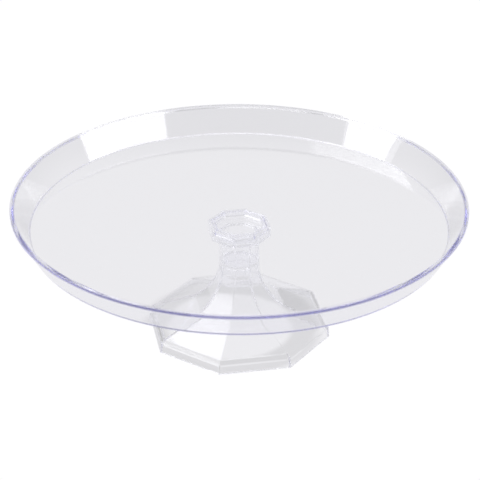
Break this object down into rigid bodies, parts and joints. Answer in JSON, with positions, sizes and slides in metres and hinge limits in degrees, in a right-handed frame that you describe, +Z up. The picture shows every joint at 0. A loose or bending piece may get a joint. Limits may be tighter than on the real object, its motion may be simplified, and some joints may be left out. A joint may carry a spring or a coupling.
{
  "type": "cake stand",
  "caption": "Clear plastic cake stand: a round shallow tray with flared wall and a narrow upright rim that lifts off a hollow octagonal pedestal with cup, neck, flare and skirt.",
  "frame": {"origin": "centre of the foot on the surface the stand rests on", "axes": "+Z up along the stand's axis; two flats of the octagonal foot face +X and -X, two face +Y and -Y"},
  "size_m": [0.35, 0.35, 0.115],
  "materials": {
    "plate_clear": "clear injection-moulded polystyrene, polished, faint blue-violet tint at the rim",
    "pedestal_clear": "clear injection-moulded polystyrene, polished, faint grey-violet tint"
  },
  "bodies": {
    "pedestal": {"pedestal": "pedestal_clear"},
    "plate": {"plate": "plate_clear"}
  },
  "joints": [
    {"name": "plate_lift", "type": "slide", "parent": "pedestal", "child": "plate", "axis": [0, 0, 1], "range_m": [0, 0.06]}
  ]
}
